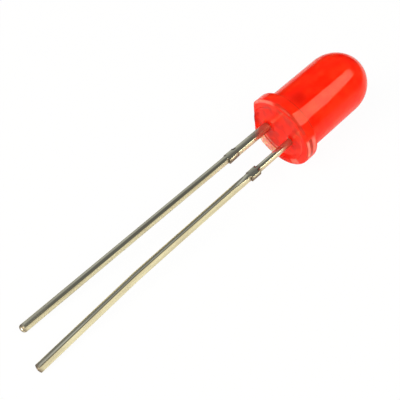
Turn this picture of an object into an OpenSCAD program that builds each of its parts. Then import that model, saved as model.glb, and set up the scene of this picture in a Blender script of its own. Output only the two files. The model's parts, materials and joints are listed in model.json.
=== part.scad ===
// Round through-hole light-emitting diode: a diffused red lens cast over a stamped lead frame.
// It lies as it comes to rest, on the rim of its flange and on the tips of its two leads.
// Each piece is drawn upright: the lens points along +Z from the rim of its base at Z = 0,
// the leads hang below it in the XZ plane, and the cathode is on +X.
// The laid() module then lays every piece down with the dome towards +X and the cathode towards +Y.

/* [Lens] */
// Diameter of the round body
body_d = 5; // [4.6:0.1:5.4]
// Height from the base's rim to the tip of the dome
lens_h = 8.8; // [7.8:0.1:10]
// Diameter of the flange
flange_d = 5.9; // [5.6:0.05:6.4]
// Thickness of the flange
flange_t = 1; // [0.8:0.05:1.3]
// Distance from the axis to the flat that marks the cathode
flat_offset = 2.5; // [2.5:0.05:2.7]
// Rounding of the flange's shoulder edge
shoulder_round = 0.08; // [0.04:0.01:0.12]
// Rounding of the rim's outer edge
rim_round = 0.2; // [0.1:0.02:0.3]
// Width of the level land between the dish and the nearer of the rim's rounding and the flat
rim_land = 0.1; // [0.05:0.01:0.2]
// Depth of the dish that the resin leaves in the base as it sets
dish_depth = 0.2; // [0.14:0.01:0.28]
// Radius with which the dish climbs to the rim
dish_round = 0.45; // [0.35:0.05:0.7]
// Height to which the resin climbs each lead inside the dish
wick_h = 0.12; // [0.05:0.01:0.13]
// Spread of the climbing resin round each lead
wick_w = 0.2; // [0.1:0.02:0.3]
// Thickness of the resin at its upper edge, past the lead's corners
wick_edge = 0.03; // [0.02:0.01:0.06]

/* [Leads] */
// Distance between the leads' centre lines at the base
lead_pitch = 2.24; // [2.1:0.02:2.6]
// Width of a lead
lead_w = 0.5; // [0.4:0.02:0.56]
// Thickness of the stamped sheet
lead_t = 0.5; // [0.4:0.02:0.6]
// Length of the cathode lead below the base
cathode_len = 22.1; // [12:0.1:30]
// Length of the anode lead below the base
anode_len = 22.5; // [18:0.1:31]
// Outward lean of the cathode lead, in degrees
cathode_lean = 0.6; // [0:0.05:1]
// Outward lean of the anode lead below the dam bar, in degrees
anode_lean = 0.3; // [0:0.05:1.5]
// Distance from the base to the slight bend in the anode lead
bend_at = 14.5; // [8:0.5:16]
// Outward lean of the anode lead below the bend, in degrees
bend_lean = 2.45; // [0:0.05:4]
// Rounding of the tinned tip of the cathode lead
tip_round = 0.17; // [0.05:0.01:0.19]
// Corner left by the cutter on the anode lead's tip
tip_cut = 0.06; // [0.02:0.01:0.12]

/* [Dam bar stubs] */
// Distance from the base to the lower edge of the cut dam bar
dam_at = 4.15; // [3:0.05:5]
// Length of the dam bar's stub along the lead
dam_l = 0.85; // [0.5:0.05:1.2]
// How far the stub stands out from the anode lead's outer side
dam_stub = 0.13; // [0.05:0.01:0.25]
// How far the stub stands out from a lead's outline on its lesser side
dam_burr = 0.05; // [0.02:0.01:0.1]
// Extra width on the inner side of the cathode's neck, down to the dam bar
neck_extra = 0.1; // [0.05:0.01:0.2]
// Width taken off the inner side of the anode's neck, down to the dam bar
neck_inset = 0.07; // [0:0.01:0.12]

/* [Lead frame head] */
// Height at which the heads start to widen inside the lens
head_z = 1.3; // [1.1:0.1:1.6]
// Step that locks each head in the resin
lock_step = 0.14; // [0.08:0.02:0.2]
// Rise of each sloped edge of the heads
head_slope = 0.5; // [0.4:0.05:0.6]
// Width of the cathode's anvil past the axis
anvil_inner_w = 0.42; // [0.3:0.02:0.5]
// Height of the widest part of the anvil
anvil_h = 0.9; // [0.6:0.05:1]
// Height of the top of the anode's post
post_z = 4.25; // [4:0.05:4.5]
// Width by which the post's top leans towards the cup
post_lean = 0.08; // [0:0.02:0.12]
// Corner taken off the post's top
post_corner = 0.14; // [0.05:0.01:0.18]

/* [Reflector cup] */
// Height of the cup's rim above the base
cup_z = 4.2; // [4:0.05:4.5]
// Height of the coined cup's outer cone
cup_h = 0.85; // [0.7:0.05:1]
// Outer radius of the cup at its rim
cup_rim_r = 0.6; // [0.55:0.01:0.64]
// Outer radius of the cup where it leaves the anvil
cup_root_r = 0.42; // [0.35:0.01:0.45]
// Radius of the cup's mouth
cup_mouth_r = 0.5; // [0.44:0.01:0.52]
// Radius of the cup's floor
cup_floor_r = 0.28; // [0.26:0.01:0.32]
// Depth of the cup
cup_depth = 0.38; // [0.3:0.02:0.45]

/* [Chip and wire] */
// Side of the square chip
die_w = 0.28; // [0.2:0.01:0.3]
// Height of the chip
die_h = 0.2; // [0.1:0.01:0.24]
// Thickness of the conductive adhesive under the chip
attach_t = 0.03; // [0.02:0.005:0.05]
// Spread of the adhesive past the chip's corners
attach_spread = 0.04; // [0.01:0.01:0.05]
// Diameter of the bond wire
wire_d = 0.03; // [0.02:0.005:0.04]
// Rise of the wire's loop over its chord
wire_loop = 0.32; // [0.2:0.01:0.45]
// Radius of the ball bond and of the stitch's foot
bond_r = 0.055; // [0.04:0.005:0.07]
// Height of the ball bond and of the stitch
bond_h = 0.045; // [0.04:0.005:0.06]

/* [Hidden] */
$fn = 96;

resin_red = [0.93, 0.12, 0.07];
tinned_steel = [0.72, 0.7, 0.62];
chip_grey = [0.3, 0.28, 0.3];
silver_paste = [0.75, 0.75, 0.76];
wire_gold = [0.9, 0.72, 0.25];

// A cutter reaches this far past the face it cuts
over = 1;
body_r = body_d / 2;
flange_r = flange_d / 2;
dome_z = lens_h - body_r;
dish_r = min(flange_r - rim_round, flat_offset) - rim_land;
// Where the dish's floor ends and its climb to the rim starts
dish_floor_r = dish_r - sqrt(pow(dish_round, 2) - pow(dish_round - dish_depth, 2));

// Leads: x of a centre line at a distance d below the base
lead_x = lead_pitch / 2;
half_w = lead_w / 2;
function cathode_x(d) = lead_x + d * tan(cathode_lean);
function anode_x(d) =
    -lead_x
    - max(0, min(d, bend_at) - dam_at) * tan(anode_lean)
    - max(0, d - bend_at) * tan(bend_lean);
dam_top = dam_at - dam_l;

// Lead frame head
lock_z = head_z + lock_step;
cup_root_z = cup_z - cup_h;
cup_floor_z = cup_z - cup_depth;
attach_r = die_w / sqrt(2) + attach_spread;
die_z = cup_floor_z + attach_t;
die_top = die_z + die_h;

// Bond wire: an arc from the ball on the chip to the stitch on the post, in the XZ plane
wire_from = [0, die_top + bond_h / 2];
wire_to = [-lead_x, post_z + bond_h / 2];
wire_chord = norm(wire_to - wire_from);
wire_slope = atan2(wire_to[1] - wire_from[1], wire_to[0] - wire_from[0]);
wire_bend_r = (pow(wire_chord / 2, 2) + pow(wire_loop, 2)) / (2 * wire_loop);
wire_half_angle = atan2(wire_chord / 2, wire_bend_r - wire_loop);
wire_up = wire_slope - 90;
wire_centre = (wire_from + wire_to) / 2 - (wire_bend_r - wire_loop) * [cos(wire_up), sin(wire_up)];

// Rest: the rim's lowest edge and both tips touch the table.
// With T = tan(pitch) and sin(roll) = -k * T, the two tips give one equation for T.
cathode_tip_x = cathode_x(cathode_len) + half_w;
anode_tip_x = anode_x(anode_len) + half_w;
rest_k = (anode_len - cathode_len) / (cathode_tip_x - anode_tip_x);
rest_tan = (flange_r - lead_t / 2) / (cathode_len + rim_round + rest_k * cathode_tip_x);
rest_pitch = atan(rest_tan);
rest_roll = -asin(rest_k * rest_tan);
rest_z = (flange_r - rim_round) * cos(rest_pitch) + rim_round * (1 - sin(rest_pitch));

// The laid part's middle, from the reach of its dome, longest tip, flange and flat
flat_half = sqrt(pow(flange_r, 2) - pow(flat_offset, 2));
tip_top = (anode_tip_x - lead_w) * sin(rest_roll) + lead_t / 2 * cos(rest_roll);
reach_front = dome_z * cos(rest_pitch) + body_r;
reach_back = -anode_len * cos(rest_pitch) - tip_top * sin(rest_pitch);
reach_flat = flat_offset * cos(rest_roll) + flat_half * sin(abs(rest_roll));
middle_x = (reach_front + reach_back) / 2;
middle_y = (reach_flat - flange_r) / 2;

// Lays an upright piece down in the rest pose
module laid() {
    translate([-middle_x, -middle_y, rest_z])
        rotate([0, -rest_pitch, 0])
            rotate([rest_roll, 0, 0])
                rotate([90, 0, 90])
                    children();
}

// Stamps an outline drawn in X and Z out of the lead frame's sheet
module stamped() {
    rotate([90, 0, 0])
        linear_extrude(lead_t, center = true)
            children();
}

// Flange with a rounded shoulder and a rounded rim, cut by the cathode's flat
module flange() {
    difference() {
        rotate_extrude()
            union() {
                translate([0, rim_round])
                    square([flange_r, flange_t - rim_round - shoulder_round]);
                square([flange_r - rim_round, rim_round]);
                translate([flange_r - rim_round, rim_round])
                    circle(rim_round);
                translate([0, flange_t - shoulder_round])
                    square([flange_r - shoulder_round, shoulder_round]);
                translate([flange_r - shoulder_round, flange_t - shoulder_round])
                    circle(shoulder_round);
            }
        translate([flat_offset, -flange_d, -over])
            cube([flange_d, 2 * flange_d, flange_t + 2 * over]);
    }
}

// Dish in the base: a level floor that climbs to the rim in a round
module dish() {
    rotate_extrude()
        intersection() {
            translate([0, -over])
                square([dish_r, over + dish_depth]);
            union() {
                translate([0, -over])
                    square([dish_floor_r, over + dish_depth]);
                translate([dish_floor_r, dish_depth - dish_round])
                    circle(dish_round);
            }
        }
}

// Resin that climbs a lead, round the outline's middle at x, for an outline of width w
module wick(x, w) {
    foot_r = norm([w, lead_t]) / 2 + wick_edge;
    translate([x, 0, dish_depth - wick_h])
        cylinder(r1 = foot_r, r2 = foot_r + wick_w, h = wick_h);
}

module lens_blank() {
    difference() {
        union() {
            flange();
            cylinder(r = body_r, h = dome_z);
            translate([0, 0, dome_z])
                sphere(body_r);
        }
        dish();
    }
    wick(lead_x - neck_extra / 2, lead_w + neck_extra);
    wick(-lead_x - neck_inset / 2, lead_w - neck_inset);
}

// Outline of the cathode: lead, neck, anvil and the foot of the cup
module cathode_outline() {
    tip_x = cathode_x(cathode_len);
    dam_x = cathode_x(dam_at);
    burr_x = cathode_x(dam_top);
    polygon([
        [tip_x - half_w, tip_round - cathode_len],
        [dam_x - half_w, -dam_at],
        [dam_x - half_w - neck_extra - dam_burr, -dam_at],
        [burr_x - half_w - neck_extra, -dam_top],
        [lead_x - half_w - neck_extra, head_z],
        [-anvil_inner_w, head_z + head_slope],
        [-anvil_inner_w, head_z + head_slope + anvil_h],
        [-cup_root_r, cup_root_z],
        [cup_root_r, cup_root_z],
        [lead_x + half_w + lock_step, lock_z + anvil_h],
        [lead_x + half_w + lock_step, lock_z],
        [lead_x + half_w, head_z],
        [burr_x + half_w, -dam_top],
        [burr_x + half_w + dam_burr, -dam_top],
        [dam_x + half_w + dam_burr, -dam_at],
        [dam_x + half_w, -dam_at],
        [tip_x + half_w, tip_round - cathode_len]
    ]);
    // Rounded tip
    translate([tip_x - half_w + tip_round, -cathode_len])
        square([lead_w - 2 * tip_round, tip_round]);
    for (side = [-1, 1])
        translate([tip_x + side * (half_w - tip_round), tip_round - cathode_len])
            circle(tip_round);
}

// Cathode: the stamped outline with the cup coined into its top
module cathode_shape() {
    difference() {
        union() {
            stamped()
                cathode_outline();
            translate([0, 0, cup_root_z])
                cylinder(r1 = cup_root_r, r2 = cup_rim_r, h = cup_h);
        }
        translate([0, 0, cup_floor_z])
            cylinder(r1 = cup_floor_r, r2 = cup_mouth_r, h = cup_depth);
    }
}

// Anode: lead with its slight bend, dam bar stub and post
module anode_shape() {
    tip_x = anode_x(anode_len);
    bend_x = anode_x(bend_at);
    post_in = -lead_x + half_w - neck_inset;
    post_out = -lead_x - half_w - lock_step;
    stamped()
        polygon([
            [tip_x + half_w - tip_cut, -anode_len],
            [tip_x + half_w, tip_cut - anode_len],
            [bend_x + half_w, -bend_at],
            [-lead_x + half_w, -dam_at],
            [-lead_x + half_w + dam_burr, -dam_at],
            [-lead_x + half_w + dam_burr, -dam_top],
            [post_in, -dam_top],
            [post_in, post_z - 2 * head_slope],
            [post_in + post_lean, post_z - head_slope],
            [post_in + post_lean, post_z - post_corner],
            [post_in + post_lean - post_corner, post_z],
            [post_out + post_corner, post_z],
            [post_out, post_z - post_corner],
            [post_out, lock_z],
            [-lead_x - half_w, head_z],
            [-lead_x - half_w, -dam_top],
            [-lead_x - half_w - dam_stub, -dam_top],
            [-lead_x - half_w - dam_stub, -dam_at],
            [-lead_x - half_w, -dam_at],
            [bend_x - half_w, -bend_at],
            [tip_x - half_w, tip_cut - anode_len],
            [tip_x - half_w + tip_cut, -anode_len]
        ]);
}

module die_shape() {
    translate([-die_w / 2, -die_w / 2, die_z])
        cube([die_w, die_w, die_h]);
}

module attach_shape() {
    translate([0, 0, cup_floor_z])
        cylinder(r1 = attach_r, r2 = attach_r - attach_spread / 2, h = attach_t);
}

module wire_shape() {
    translate([wire_centre[0], 0, wire_centre[1]])
        rotate([90, 0, 0])
            rotate([0, 0, wire_up - wire_half_angle])
                rotate_extrude(angle = 2 * wire_half_angle)
                    translate([wire_bend_r, 0])
                        circle(d = wire_d);
    translate([0, 0, die_top])
        cylinder(r = bond_r, h = bond_h);
    translate([wire_to[0], 0, post_z])
        cylinder(r1 = bond_r, r2 = bond_r - bond_h / 2, h = bond_h);
}

// One casting, closed round the heads of both leads, the chip and its wire
module epoxy_lens() {
    color(resin_red)
        laid()
            difference() {
                lens_blank();
                cathode_shape();
                anode_shape();
                attach_shape();
                die_shape();
                wire_shape();
            }
}

module cathode_lead() {
    color(tinned_steel)
        laid()
            cathode_shape();
}

module anode_lead() {
    color(tinned_steel)
        laid()
            anode_shape();
}

module led_die() {
    color(chip_grey)
        laid()
            die_shape();
}

module die_attach() {
    color(silver_paste)
        laid()
            attach_shape();
}

module bond_wire() {
    color(wire_gold)
        laid()
            wire_shape();
}

epoxy_lens();
cathode_lead();
anode_lead();
led_die();
die_attach();
bond_wire();
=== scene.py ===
"""Round red light-emitting diode with two tinned leads, lying on a white table."""

import json
import math

import bpy
import numpy as np
from bpy.props import FloatProperty, FloatVectorProperty, PointerProperty
from mathutils import Matrix, Vector


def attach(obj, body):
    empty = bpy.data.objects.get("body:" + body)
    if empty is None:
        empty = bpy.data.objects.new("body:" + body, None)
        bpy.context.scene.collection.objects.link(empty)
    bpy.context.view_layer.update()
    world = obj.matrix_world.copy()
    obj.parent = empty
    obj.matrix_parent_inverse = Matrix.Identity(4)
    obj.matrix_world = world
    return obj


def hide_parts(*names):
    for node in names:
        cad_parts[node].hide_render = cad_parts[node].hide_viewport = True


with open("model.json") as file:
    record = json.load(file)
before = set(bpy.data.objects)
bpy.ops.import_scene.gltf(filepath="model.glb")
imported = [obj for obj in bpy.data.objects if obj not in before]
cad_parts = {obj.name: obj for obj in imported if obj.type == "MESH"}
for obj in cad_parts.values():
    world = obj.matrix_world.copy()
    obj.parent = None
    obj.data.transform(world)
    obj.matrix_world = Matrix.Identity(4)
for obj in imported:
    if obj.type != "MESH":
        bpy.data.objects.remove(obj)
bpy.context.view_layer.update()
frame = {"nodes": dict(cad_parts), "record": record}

bl_info = {
    "name": "Round Red LED",
    "version": (1, 0, 0),
    "blender": (4, 5, 0),
    "location": "3D View > Sidebar > LED",
    "description": "Casts the lens, forms the leads and sets the table of a round red LED",
    "category": "Object",
}

MM = 0.001
BODY = "root"
SHARP_EDGE = math.radians(38)
QUARTER = math.pi / 2

# The lamp's own axes: across towards the cathode, up from the lead plane, and along the lens
MOUNTS = {mount["name"]: mount for mount in frame["record"]["mounts"]}
BASE = np.array(MOUNTS["lead_pair"]["pos_m"])
ALONG = np.array(MOUNTS["lens_body"]["axis"])
ALONG = ALONG / np.linalg.norm(ALONG)
SHOULDER = np.array(MOUNTS["flange_shoulder"]["pos_m"]) - BASE
ACROSS = ALONG * (SHOULDER @ ALONG) - SHOULDER
ACROSS = ACROSS / np.linalg.norm(ACROSS)
UP = np.cross(ALONG, ACROSS)
LAMP_AXES = np.array([ACROSS, UP, ALONG])


def lamp_box(name):
    """Lowest and highest corners of a CAD node along the lamp's own axes, in metres."""
    mesh = frame["nodes"][name].data
    points = np.empty(len(mesh.vertices) * 3)
    mesh.vertices.foreach_get("co", points)
    local = (points.reshape(-1, 3) - BASE) @ LAMP_AXES.T
    return local.min(axis=0), local.max(axis=0)


LENS_LOW, LENS_HIGH = lamp_box("epoxy_lens")
CATHODE_LOW, CATHODE_HIGH = lamp_box("cathode_lead")
ANODE_LOW, ANODE_HIGH = lamp_box("anode_lead")
BODY_RADIUS = MOUNTS["lens_body"]["dims"]["r_mm"] * MM


def length(name, text, metres):
    """A length that a user may change."""
    return FloatProperty(name=name, description=text, default=metres, unit="LENGTH", precision=6)


def angle(name, text, degrees):
    """An angle that a user may change."""
    turn = math.radians(degrees)
    return FloatProperty(name=name, description=text, default=turn, subtype="ANGLE")


def colour(name, text, shade):
    """A colour that a user may change, as linear red, green and blue."""
    return FloatVectorProperty(
        name=name, description=text, default=shade, subtype="COLOR", size=3, min=0, max=1
    )


def level(name, text, value):
    """A plain number that a user may change."""
    return FloatProperty(name=name, description=text, default=value)


class LensSizes(bpy.types.PropertyGroup):
    """Sizes of the cast lens."""

    body_radius: length("Body radius", "Radius of the round body", BODY_RADIUS)
    height: length("Height", "Height from the rim to the dome's tip", LENS_HIGH[2])
    flange_radius: length("Flange radius", "Radius of the flange", -LENS_LOW[0])
    flange_thickness: length("Flange thickness", "Thickness of the flange", SHOULDER @ ALONG)
    flat_distance: length("Flat distance", "Distance from the axis to the flat", LENS_HIGH[0])
    rim_rounding: length("Rim rounding", "Rounding of the rim's outer edge", 0.2 * MM)
    shoulder_rounding: length("Shoulder rounding", "Rounding of the shoulder's edge", 0.08 * MM)
    root_rounding: length("Root rounding", "Hollow rounding between flange and body", 0.05 * MM)
    rim_land: length("Rim land", "Level land on the rim beside the flat", 0.1 * MM)
    dish_depth: length("Dish depth", "Depth of the dish in the base", 0.2 * MM)
    dish_rounding: length("Dish rounding", "Rounding of the dish's climb to the rim", 0.45 * MM)
    climb_height: length("Climb height", "Height to which the resin climbs each lead", 0.12 * MM)
    climb_spread: length("Climb spread", "Spread of the resin round each lead", 0.26 * MM)


class LeadSizes(bpy.types.PropertyGroup):
    """Sizes of the two leads below the base."""

    pitch: length("Pitch", "Distance between the leads at the base", 2.24 * MM)
    width: length("Width", "Width of a lead", 0.5 * MM)
    thickness: length("Thickness", "Thickness of the stamped sheet", ANODE_HIGH[1] - ANODE_LOW[1])
    corner: length("Corner", "Rounding of a lead's tinned edges", 0.1 * MM)
    crown: length("Crown", "Rise of the tin in the middle of each face", 0.016 * MM)
    sheared_corner: length("Sheared corner", "Rounding of a sheared edge", 0.07 * MM)
    cathode_length: length("Cathode length", "Length of the cathode below the base", -CATHODE_LOW[2])
    anode_length: length("Anode length", "Length of the anode below the base", -ANODE_LOW[2])
    cathode_lean: angle("Cathode lean", "Outward lean of the cathode", 0.6)
    anode_lean: angle("Anode lean", "Outward lean of the anode below the dam bar", 0.3)
    bend_distance: length("Bend distance", "Distance from the base to the anode's bend", 14.5 * MM)
    bend_lean: angle("Bend lean", "Outward lean of the anode below its bend", 2.45)
    anode_turn: angle("Anode turn", "Twist of the anode below the dam bar", -28)
    tip_turn: angle("Tip turn", "Twist of the anode at its tip", -16)
    dam_distance: length("Dam distance", "Distance from the base to the stubs' lower edge", 4.15 * MM)
    dam_length: length("Dam length", "Length of the dam bar's stubs along a lead", 0.85 * MM)
    dam_stub: length("Dam stub", "Stand-out of the anode's outer stub", 0.13 * MM)
    dam_burr: length("Dam burr", "Stand-out of the lesser stubs", 0.05 * MM)
    neck_extra: length("Neck extra", "Extra inner width of the cathode's neck", 0.10 * MM)
    neck_inset: length("Neck inset", "Inner width that the anode's neck lacks", 0.07 * MM)
    cathode_tip: length("Cathode tip", "Rounding of the cathode's tinned tip", 0.17 * MM)
    anode_tip: length("Anode tip", "Rounding of the anode's cut tip", 0.06 * MM)
    tip_hollow: length("Tip hollow", "Depth of the hollow in the cut tip", 0.07 * MM)


class HeadSizes(bpy.types.PropertyGroup):
    """Sizes of the lead frame's heads inside the lens."""

    head_height: length("Head height", "Height at which the heads start to widen", 1.3 * MM)
    lock_step: length("Lock step", "Step that locks each head in the resin", 0.14 * MM)
    slope: length("Slope", "Rise of each sloped edge", 0.5 * MM)
    anvil_reach: length("Anvil reach", "Reach of the anvil past the axis", 0.42 * MM)
    anvil_height: length("Anvil height", "Height of the anvil's widest part", 0.9 * MM)
    post_height: length("Post height", "Height of the post's top", ANODE_HIGH[2])
    post_lean: length("Post lean", "Lean of the post's top towards the cup", 0.08 * MM)
    post_corner: length("Post corner", "Corner taken off the post's top", 0.14 * MM)
    cup_height: length("Cup height", "Height of the cup's rim", CATHODE_HIGH[2])
    cup_length: length("Cup length", "Height of the cup's outer cone", 0.85 * MM)
    cup_rim: length("Cup rim", "Outer radius of the cup's rim", 0.6 * MM)
    cup_root: length("Cup root", "Outer radius of the cup at the anvil", 0.42 * MM)
    cup_mouth: length("Cup mouth", "Radius of the cup's mouth", 0.5 * MM)
    cup_floor: length("Cup floor", "Radius of the cup's floor", 0.28 * MM)
    cup_depth: length("Cup depth", "Depth of the cup", 0.38 * MM)


class Finishes(bpy.types.PropertyGroup):
    """Colours of the finishes."""

    resin_deep: colour("Deep resin", "Red where the filler is thin", (0.96, 0.014, 0.003))
    resin_milky: colour("Milky resin", "Red where the filler is dense", (1.0, 0.030, 0.007))
    # Painted shade of the lead frame's heads seen through the resin
    resin_painted_shade: colour("Shaded resin", "Red over the lead frame's heads", (0.6, 0.006, 0.002))
    # Painted shade in the base, in clouds
    resin_base_shade: colour("Murky resin", "Brownish clouds in the base", (0.66, 0.008, 0.003))
    # Painted glow where light comes through the thin rim, and painted highlights on its edges
    resin_painted_glow: colour("Thin resin", "Pink of the rim's thin lip", (1.0, 0.42, 0.33))
    resin_sheen: colour("Resin sheen", "Warm tint of what the resin mirrors", (1.0, 0.95, 0.72))
    # Painted shade lines on the rim and the flange
    resin_painted_shade_line: colour("Resin seam", "Brownish line where the mould met the rim", (0.36, 0.035, 0.02))
    tin_bright: colour("Bright tin", "Clean tin plating", (0.78, 0.73, 0.50))
    tin_dull: colour("Dull tin", "Tin dulled along the drawn lines", (0.62, 0.57, 0.38))
    # Also darkens the tin towards the lens base
    tin_stain: colour("Tin stain", "Brownish stain in the plating", (0.40, 0.34, 0.24))
    # Also painted shade on the cathode's rounded tinned tip, standing for dark reflections
    bare_steel_and_tip_shade: colour("Torn steel", "Steel torn by the cutter", (0.23, 0.18, 0.13))
    chip: colour("Chip", "Sawn sides of the chip", (0.10, 0.09, 0.10))
    chip_glint: colour("Chip glint", "Lighter grains on the chip", (0.24, 0.21, 0.22))
    paste: colour("Paste", "Silver-filled adhesive", (0.62, 0.62, 0.61))
    paste_dark: colour("Dark paste", "Resin between the silver flakes", (0.34, 0.33, 0.32))
    gold: colour("Gold", "Drawn gold wire", (0.90, 0.62, 0.18))
    gold_dull: colour("Dull gold", "Gold pressed flat at the bonds", (0.72, 0.48, 0.14))


def light_settings(name, azimuth, elevation, width, height, roll, brightness):
    """Settings of one soft light."""
    settings = {
        "azimuth": angle("Azimuth", "Turn about the table from the front", azimuth),
        "elevation": angle("Elevation", "Height over the table", elevation),
        "width": angle("Width", "Width as the part sees it", width),
        "height": angle("Height", "Height as the part sees it", height),
        "roll": angle("Roll", "Turn about its own beam", roll),
        "level": level("Level", "Brightness, where 1 is white", brightness),
    }
    return type(name, (bpy.types.PropertyGroup,), {"__annotations__": settings})


KeyLight = light_settings(
    "KeyLight", azimuth=42.9, elevation=47.5, width=33.5, height=16.3, roll=43.6, brightness=8.6
)
SideLight = light_settings(
    "SideLight", azimuth=-98, elevation=38, width=32, height=32, roll=0, brightness=9.0
)
FrontLight = light_settings(
    "FrontLight", azimuth=-50, elevation=24, width=40, height=40, roll=0, brightness=0.4
)


class StudioSettings(bpy.types.PropertyGroup):
    """Table, walls and camera, and what the lights share."""

    floor_width: length("Floor width", "Width of the white table", 0.9)
    floor_white: colour("Floor white", "Colour of the table", (0.88, 0.88, 0.87))
    floor_glow: level("Floor glow", "Share of plain white in the table that the camera sees", 0.96)
    mirror_glow: level("Mirror glow", "Share of plain white in the table that the part mirrors", 0.1)
    wall_tint: colour("Wall tint", "Cool white of the walls and the ceiling", (0.80, 0.85, 1.0))
    wall_level: level("Wall level", "Brightness of the pale walls", 0.74)
    ceiling_level: level("Ceiling level", "Brightness of the studio's ceiling", 0.2)
    wall_fade: angle("Wall fade", "Height over the horizon where the walls start to darken", 42)
    wall_top: angle("Wall top", "Height over the horizon where the ceiling takes over", 63)
    left_dimming: level("Left dimming", "Share of its brightness that the left wall lacks", 0.6)
    right_dimming: level("Right dimming", "Share of its brightness that the right wall lacks", 0.88)
    front_lift: level("Front lift", "Share by which the front wall's foot is brighter", 0.55)
    back_dimming: level("Back dimming", "Share of its brightness that the back wall's foot lacks", 0.6)
    lamp_tint: colour("Lamp tint", "Warm white of the lights", (1.0, 0.95, 0.84))
    light_distance: length("Light distance", "Distance of the lights from the part", 0.3)
    camera_azimuth: angle("Camera azimuth", "Turn of the camera about the table from the front", -37.914)
    camera_elevation: angle("Camera elevation", "Height of the camera over the table", 55)
    camera_roll: angle("Camera roll", "Turn of the camera about its own view", -4.781)
    camera_distance: length("Camera distance", "Distance from the camera to its aim", 33.654 * MM)
    camera_aim_x: length("Camera aim X", "Camera's aim on the table along x", -0.1087 * MM)
    camera_aim_y: length("Camera aim Y", "Camera's aim on the table along y", 1.3474 * MM)
    field_of_view: angle("Field of view", "Width of the square picture", 48.294)


def placed(points):
    """Takes points in the lamp's own axes to the row frame: base + x across + y up + z along."""
    return BASE + points @ LAMP_AXES


def grid_faces(rows, columns):
    """Quads of a grid that closes on itself along its columns, numbered row by row."""
    row = np.arange(rows - 1)[:, None] * columns
    above = row + columns
    column = np.arange(columns)[None, :]
    following = (column + 1) % columns
    corners = [row + column, row + following, above + following, above + column]
    return np.stack(corners, axis=-1).reshape(-1, 4)


def closed_shell(rings, first_pole, last_pole):
    """Points, quads and triangles of a grid of rings that a fan closes to a pole at each end."""
    rows, columns = rings.shape[:2]
    points = np.concatenate([rings.reshape(-1, 3), [first_pole, last_pole]])
    column = np.arange(columns)
    following = (column + 1) % columns
    last_row = (rows - 1) * columns
    pole = np.full(columns, rows * columns)
    first_fan = np.stack([pole, following, column], axis=-1)
    last_fan = np.stack([pole + 1, last_row + column, last_row + following], axis=-1)
    return points, grid_faces(rows, columns), np.concatenate([first_fan, last_fan])


def put_in_scene(name, data):
    """A new object in the scene that shows the given data."""
    made = bpy.data.objects.new(name, data)
    bpy.context.scene.collection.objects.link(made)
    return made


def shell_volume(points, quads, triangles):
    """Volume inside a closed shell: a sixth of the summed triple products of its triangles."""
    split = np.concatenate([quads[:, [0, 1, 2]], quads[:, [0, 2, 3]], triangles])
    corners = points[split]
    return np.einsum("ij,ij->i", corners[:, 0], np.cross(corners[:, 1], corners[:, 2])).sum() / 6


def make_piece(name, shells, material, node, marks):
    """Joins closed shells into one smooth mesh, with marks for its material at each point, and
    lets it stand for a CAD node."""
    points, faces, start = [], [], 0
    for shell_points, quads, triangles in shells:
        if shell_volume(shell_points, quads, triangles) < 0:
            quads, triangles = quads[:, ::-1], triangles[:, ::-1]
        points.append(shell_points)
        faces += (quads + start).tolist() + (triangles + start).tolist()
        start += len(shell_points)
    mesh = bpy.data.meshes.new(name)
    mesh.from_pydata(placed(np.concatenate(points)), [], faces)
    mesh.polygons.foreach_set("use_smooth", np.ones(len(mesh.polygons), bool))
    for label, values in marks.items():
        layer = mesh.attributes.new(label, "FLOAT", "POINT")
        layer.data.foreach_set("value", values.astype(np.float32))
    mesh.materials.append(material)
    mesh.set_sharp_from_angle(angle=SHARP_EDGE)
    mesh.update()
    if mesh.validate(verbose=False):
        raise RuntimeError(f"{name} has faces that don't close")
    piece = put_in_scene(name, mesh)
    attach(piece, BODY)
    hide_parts(node)


# Shader nodes

# A range that falls from full to none, and the range and the middle of plain noise
FALLING = (1.0, 0.0)
CLOUDY = (0.3, 0.7)
NOISE_MIDDLE = 0.5

# Handling marks
SMUDGE_NOISE = {"Detail": 4.0, "Roughness": 0.55}
SMUDGE_RANGE = (0.42, 0.72)
HAIRLINE_NOISE = {"Detail": 1.0, "Distortion": 0.6}
HAIRLINE_WIDTH = 0.012

# Clouds of the resin, and the painted shade of the lead frame's heads seen through it: its start from
# the heads' foot, its end from the cup's rim, and its two sides
RESIN_CLOUDS = 0.9 * MM
SHADE_START, SHADE_END = (-0.4 * MM, 0.5 * MM), (-2.2 * MM, -1.2 * MM)
SHADE_INNER, SHADE_OUTER = (-1.45 * MM, -0.4 * MM), (-0.3 * MM, 0.75 * MM)
SHADE_STRENGTH = 0.85

# Resin base: where it fades, clouds of its painted shade, and patches in the rim's painted light and
# shade
BASE_FADE = 0.15 * MM
BASE_SHADE_CLOUDS, BASE_SHADE_RANGE = 0.7 * MM, (0.36, 0.64, 0.2, 0.9)
MARK_PATCHES, MARK_RANGE = 0.25 * MM, (0.3, 0.6, 0.75, 1.0)

# Surface of the resin: sizes of its marks, roughness and what adds to it, and relief
RESIN_SMUDGES, RESIN_HAIRLINES, RESIN_GRAIN = 1.1 * MM, 2.4 * MM, 0.16 * MM
RESIN_ROUGHNESS, RESIN_SMUDGED, RESIN_BASE_DULLED = 0.03, 0.03, 0.05
RESIN_SCRATCH, RESIN_RELIEF = -0.1, 0.0015 * MM

# Tin: stretch of its patterns along the lead, its drawn lines, its stains, and its darkening towards the
# lens base
DRAWN_STRETCH, SMUDGE_STRETCH = (1.0, 1.0, 0.03), (1.0, 1.0, 0.35)
DRAWN_LINES, LINE_RANGE = 0.16 * MM, (0.32, 0.68)
NEAR_BASE_RANGE = (-2.2 * MM, -0.4 * MM)
SMUDGE_STAIN, NEAR_BASE_DARKENING = 0.3, 0.5

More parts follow.
